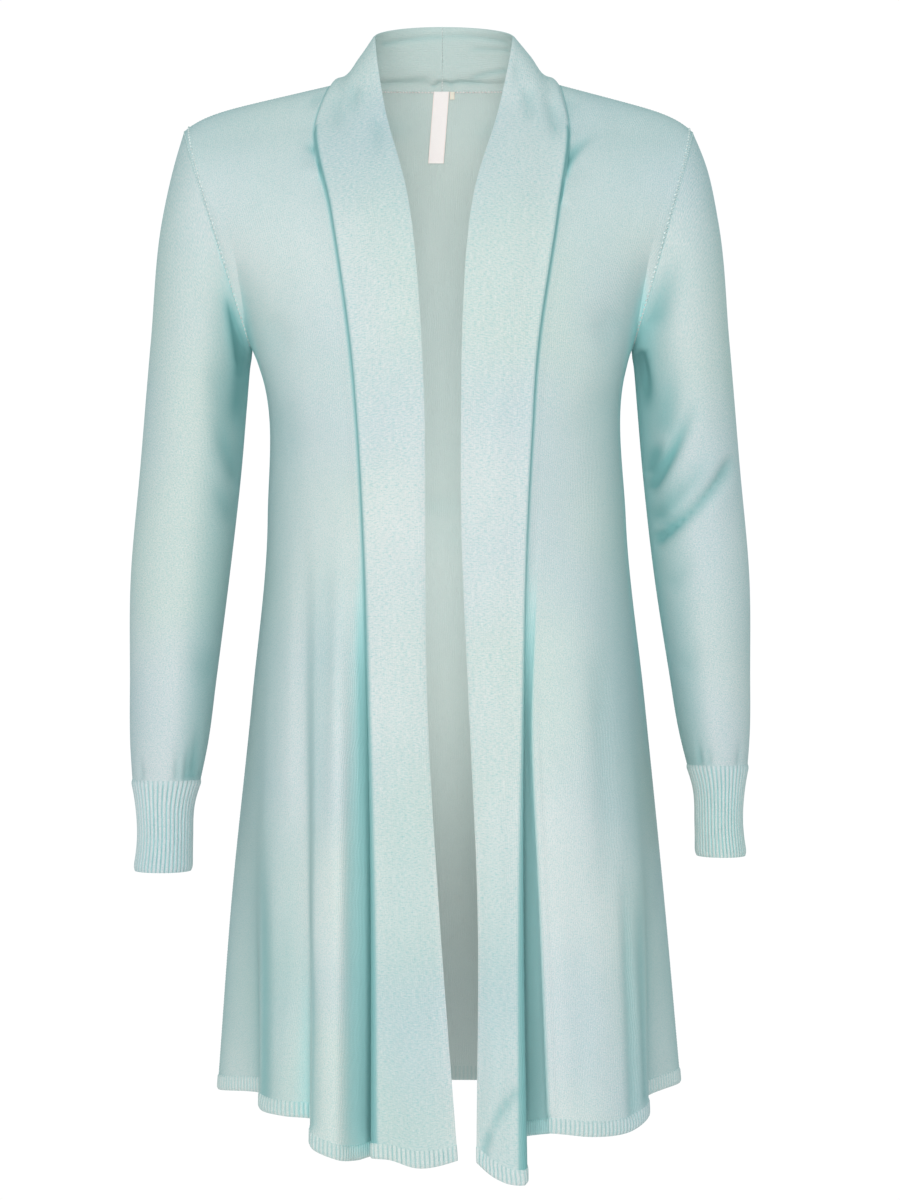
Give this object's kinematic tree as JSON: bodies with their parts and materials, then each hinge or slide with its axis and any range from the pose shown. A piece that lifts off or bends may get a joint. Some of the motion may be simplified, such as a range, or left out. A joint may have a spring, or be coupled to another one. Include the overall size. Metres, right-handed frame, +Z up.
{
  "type": "open-front cardigan",
  "caption": "Long open-front cardigan in fine knit with a wide front band that stands up as a collar, ribbed cuffs and a folded, stepped hem",
  "frame": {"origin": "midway between the wearer's shoulders at the base of the neck, where the wearer holds the garment up", "axes": "+X to the wearer's left, +Y to the wearer's back, +Z up; the open front faces -Y"},
  "size_m": [0.4934, 0.2818, 0.9131],
  "materials": {
    "fine_knit": "soft pale aqua melange knit with upright wales",
    "ribbed_knit": "pale aqua ribbed knit",
    "neck_label": "blank woven label, soft white",
    "size_tab": "blank woven tab, cream"
  },
  "bodies": {
    "root": {"back": "fine_knit", "front_left": "fine_knit", "front_right": "fine_knit", "sleeve_left": "fine_knit", "sleeve_right": "fine_knit", "cuff_left": "ribbed_knit", "cuff_right": "ribbed_knit", "band_left": "fine_knit", "band_right": "fine_knit", "hem_rib_back": "ribbed_knit", "hem_rib_front_left": "ribbed_knit", "hem_rib_front_right": "ribbed_knit", "hem_rib_band_left": "ribbed_knit", "hem_rib_band_right": "ribbed_knit", "neck_label": "neck_label", "size_tab": "size_tab"}
  },
  "joints": []
}
